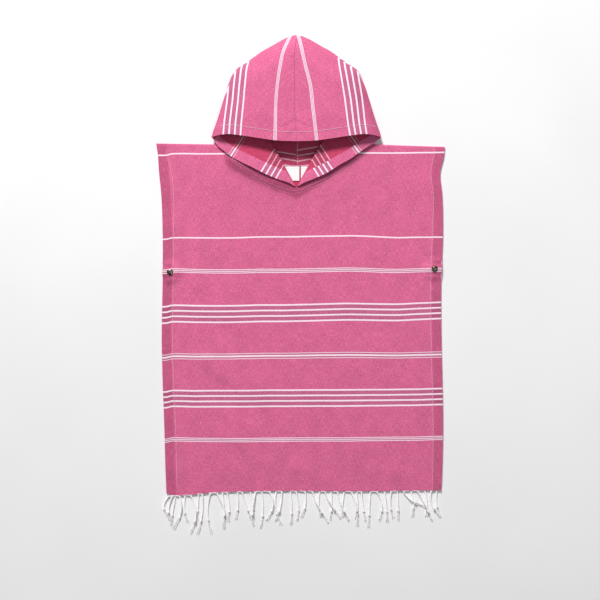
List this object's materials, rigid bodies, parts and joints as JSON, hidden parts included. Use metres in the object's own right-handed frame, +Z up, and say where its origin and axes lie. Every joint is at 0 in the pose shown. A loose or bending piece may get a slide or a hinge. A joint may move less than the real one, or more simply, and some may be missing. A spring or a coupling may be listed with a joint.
{
  "type": "hooded bath poncho",
  "caption": "Child's hooded bath poncho of flat-woven striped towel, laid flat, with knotted fringe along the hems, sides held by press studs and a seamed hood.",
  "frame": {"origin": "middle of the bottom of the whole, on the ground that the poncho lies on", "axes": "+X across the body from the left side of the view from above to the right, +Y from the hem up to the peak of the hood, +Z up out of the front"},
  "size_m": [0.4724, 0.8222, 0.022],
  "materials": {
    "towel": "flat-woven cotton towel, heathered pink with thin white stripes",
    "fringe_yarn": "white twisted cotton warp, knotted",
    "snap_metal": "dark antique bronze, polished",
    "label_tape": "white woven tape, bare"
  },
  "bodies": {
    "root": {"body": "towel", "hood_left": "towel", "hood_right": "towel", "fringe_front": "fringe_yarn", "fringe_back": "fringe_yarn", "snap_left_cap": "snap_metal", "snap_left_stud": "snap_metal", "snap_right_cap": "snap_metal", "snap_right_stud": "snap_metal", "neck_label": "label_tape", "size_label": "label_tape"}
  },
  "joints": []
}
